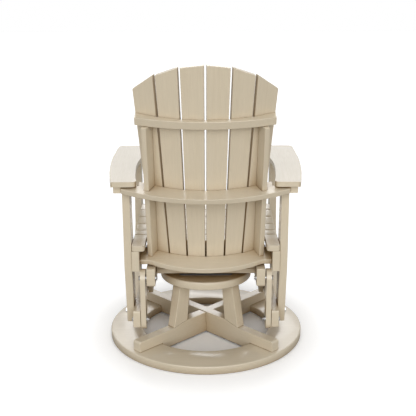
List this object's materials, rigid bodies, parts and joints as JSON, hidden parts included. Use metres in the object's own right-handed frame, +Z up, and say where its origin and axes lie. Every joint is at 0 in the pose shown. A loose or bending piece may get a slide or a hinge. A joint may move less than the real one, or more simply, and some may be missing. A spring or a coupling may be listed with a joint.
{
  "type": "swivel glider chair",
  "caption": "Swivel glider chair in sand plastic lumber: fan back of upright slats, broad flat arms, slatted seat hung on links over a turntable, pedestal and ring base.",
  "frame": {"origin": "on the floor under the middle of the chair's box at rest", "axes": "+Z up, the sitter faces -Y, the sitter's left is +X"},
  "size_m": [0.7624, 0.843, 1.0909],
  "materials": {
    "sand_lumber": "fine wood grain along each board, satin",
    "stainless_steel": "satin",
    "zinc_steel": "zinc plated, matt"
  },
  "bodies": {
    "base": {"base_ring": "sand_lumber", "base_beam_lower": "sand_lumber", "base_beam_upper": "sand_lumber", "pedestal_leg_rear_left": "sand_lumber", "pedestal_leg_rear_right": "sand_lumber", "pedestal_leg_front_left": "sand_lumber", "pedestal_leg_front_right": "sand_lumber", "pedestal_disc": "sand_lumber", "bearing_lower_plate": "zinc_steel", "bearing_race": "zinc_steel"},
    "swivel_frame": {"bearing_upper_plate": "zinc_steel", "turntable_board": "sand_lumber", "swivel_cross_board_rear": "sand_lumber", "swivel_cross_board_front": "sand_lumber", "hanger_rail_left": "sand_lumber", "hanger_rail_right": "sand_lumber", "upper_bolt_rear_left": "stainless_steel", "upper_bolt_rear_right": "stainless_steel", "upper_bolt_front_left": "stainless_steel", "upper_bolt_front_right": "stainless_steel"},
    "rear_links": {"link_rear_left": "sand_lumber", "link_rear_right": "sand_lumber"},
    "front_links": {"link_front_left": "sand_lumber", "link_front_right": "sand_lumber"},
    "seat_unit": {"glide_rail_left": "sand_lumber", "glide_rail_right": "sand_lumber", "seat_rail_left": "sand_lumber", "seat_rail_right": "sand_lumber", "rear_post_left": "sand_lumber", "rear_post_right": "sand_lumber", "front_leg_left": "sand_lumber", "front_leg_right": "sand_lumber", "lower_bolt_rear_left": "stainless_steel", "lower_bolt_rear_right": "stainless_steel", "lower_bolt_front_left": "stainless_steel", "lower_bolt_front_right": "stainless_steel", "seat_board_rear": "sand_lumber", "seat_slat_1": "sand_lumber", "seat_slat_2": "sand_lumber", "seat_slat_3": "sand_lumber", "seat_slat_4": "sand_lumber", "seat_slat_5": "sand_lumber", "seat_slat_6": "sand_lumber", "seat_slat_7": "sand_lumber", "back_rail_lower": "sand_lumber", "back_rail_middle": "sand_lumber", "back_rail_upper": "sand_lumber", "back_brace_left": "sand_lumber", "back_brace_right": "sand_lumber", "back_slat_1": "sand_lumber", "back_slat_2": "sand_lumber", "back_slat_3": "sand_lumber", "back_slat_4": "sand_lumber", "back_slat_5": "sand_lumber", "back_slat_6": "sand_lumber", "arm_left": "sand_lumber", "arm_right": "sand_lumber", "arm_cleat_left": "sand_lumber", "arm_cleat_right": "sand_lumber"}
  },
  "joints": [
    {"name": "swivel", "type": "hinge", "parent": "base", "child": "swivel_frame", "pos_m": [0, 0.0405, 0.283], "axis": [0, 0, 1], "continuous": true},
    {"name": "glide", "type": "hinge", "parent": "swivel_frame", "child": "rear_links", "pos_m": [0, 0.2185, 0.292], "axis": [1, 0, 0], "range_deg": [-14, 14]},
    {"name": "front_link_swing", "type": "hinge", "parent": "swivel_frame", "child": "front_links", "pos_m": [0, -0.1375, 0.292], "axis": [1, 0, 0], "range_deg": [-14, 14]},
    {"name": "seat_hang", "type": "hinge", "parent": "rear_links", "child": "seat_unit", "pos_m": [0, 0.2185, 0.126], "axis": [1, 0, 0], "range_deg": [-14, 14]}
  ],
  "couplings": [
    {"joint": "front_link_swing", "follows": "glide", "ratio": 1},
    {"joint": "seat_hang", "follows": "glide", "ratio": -1}
  ]
}
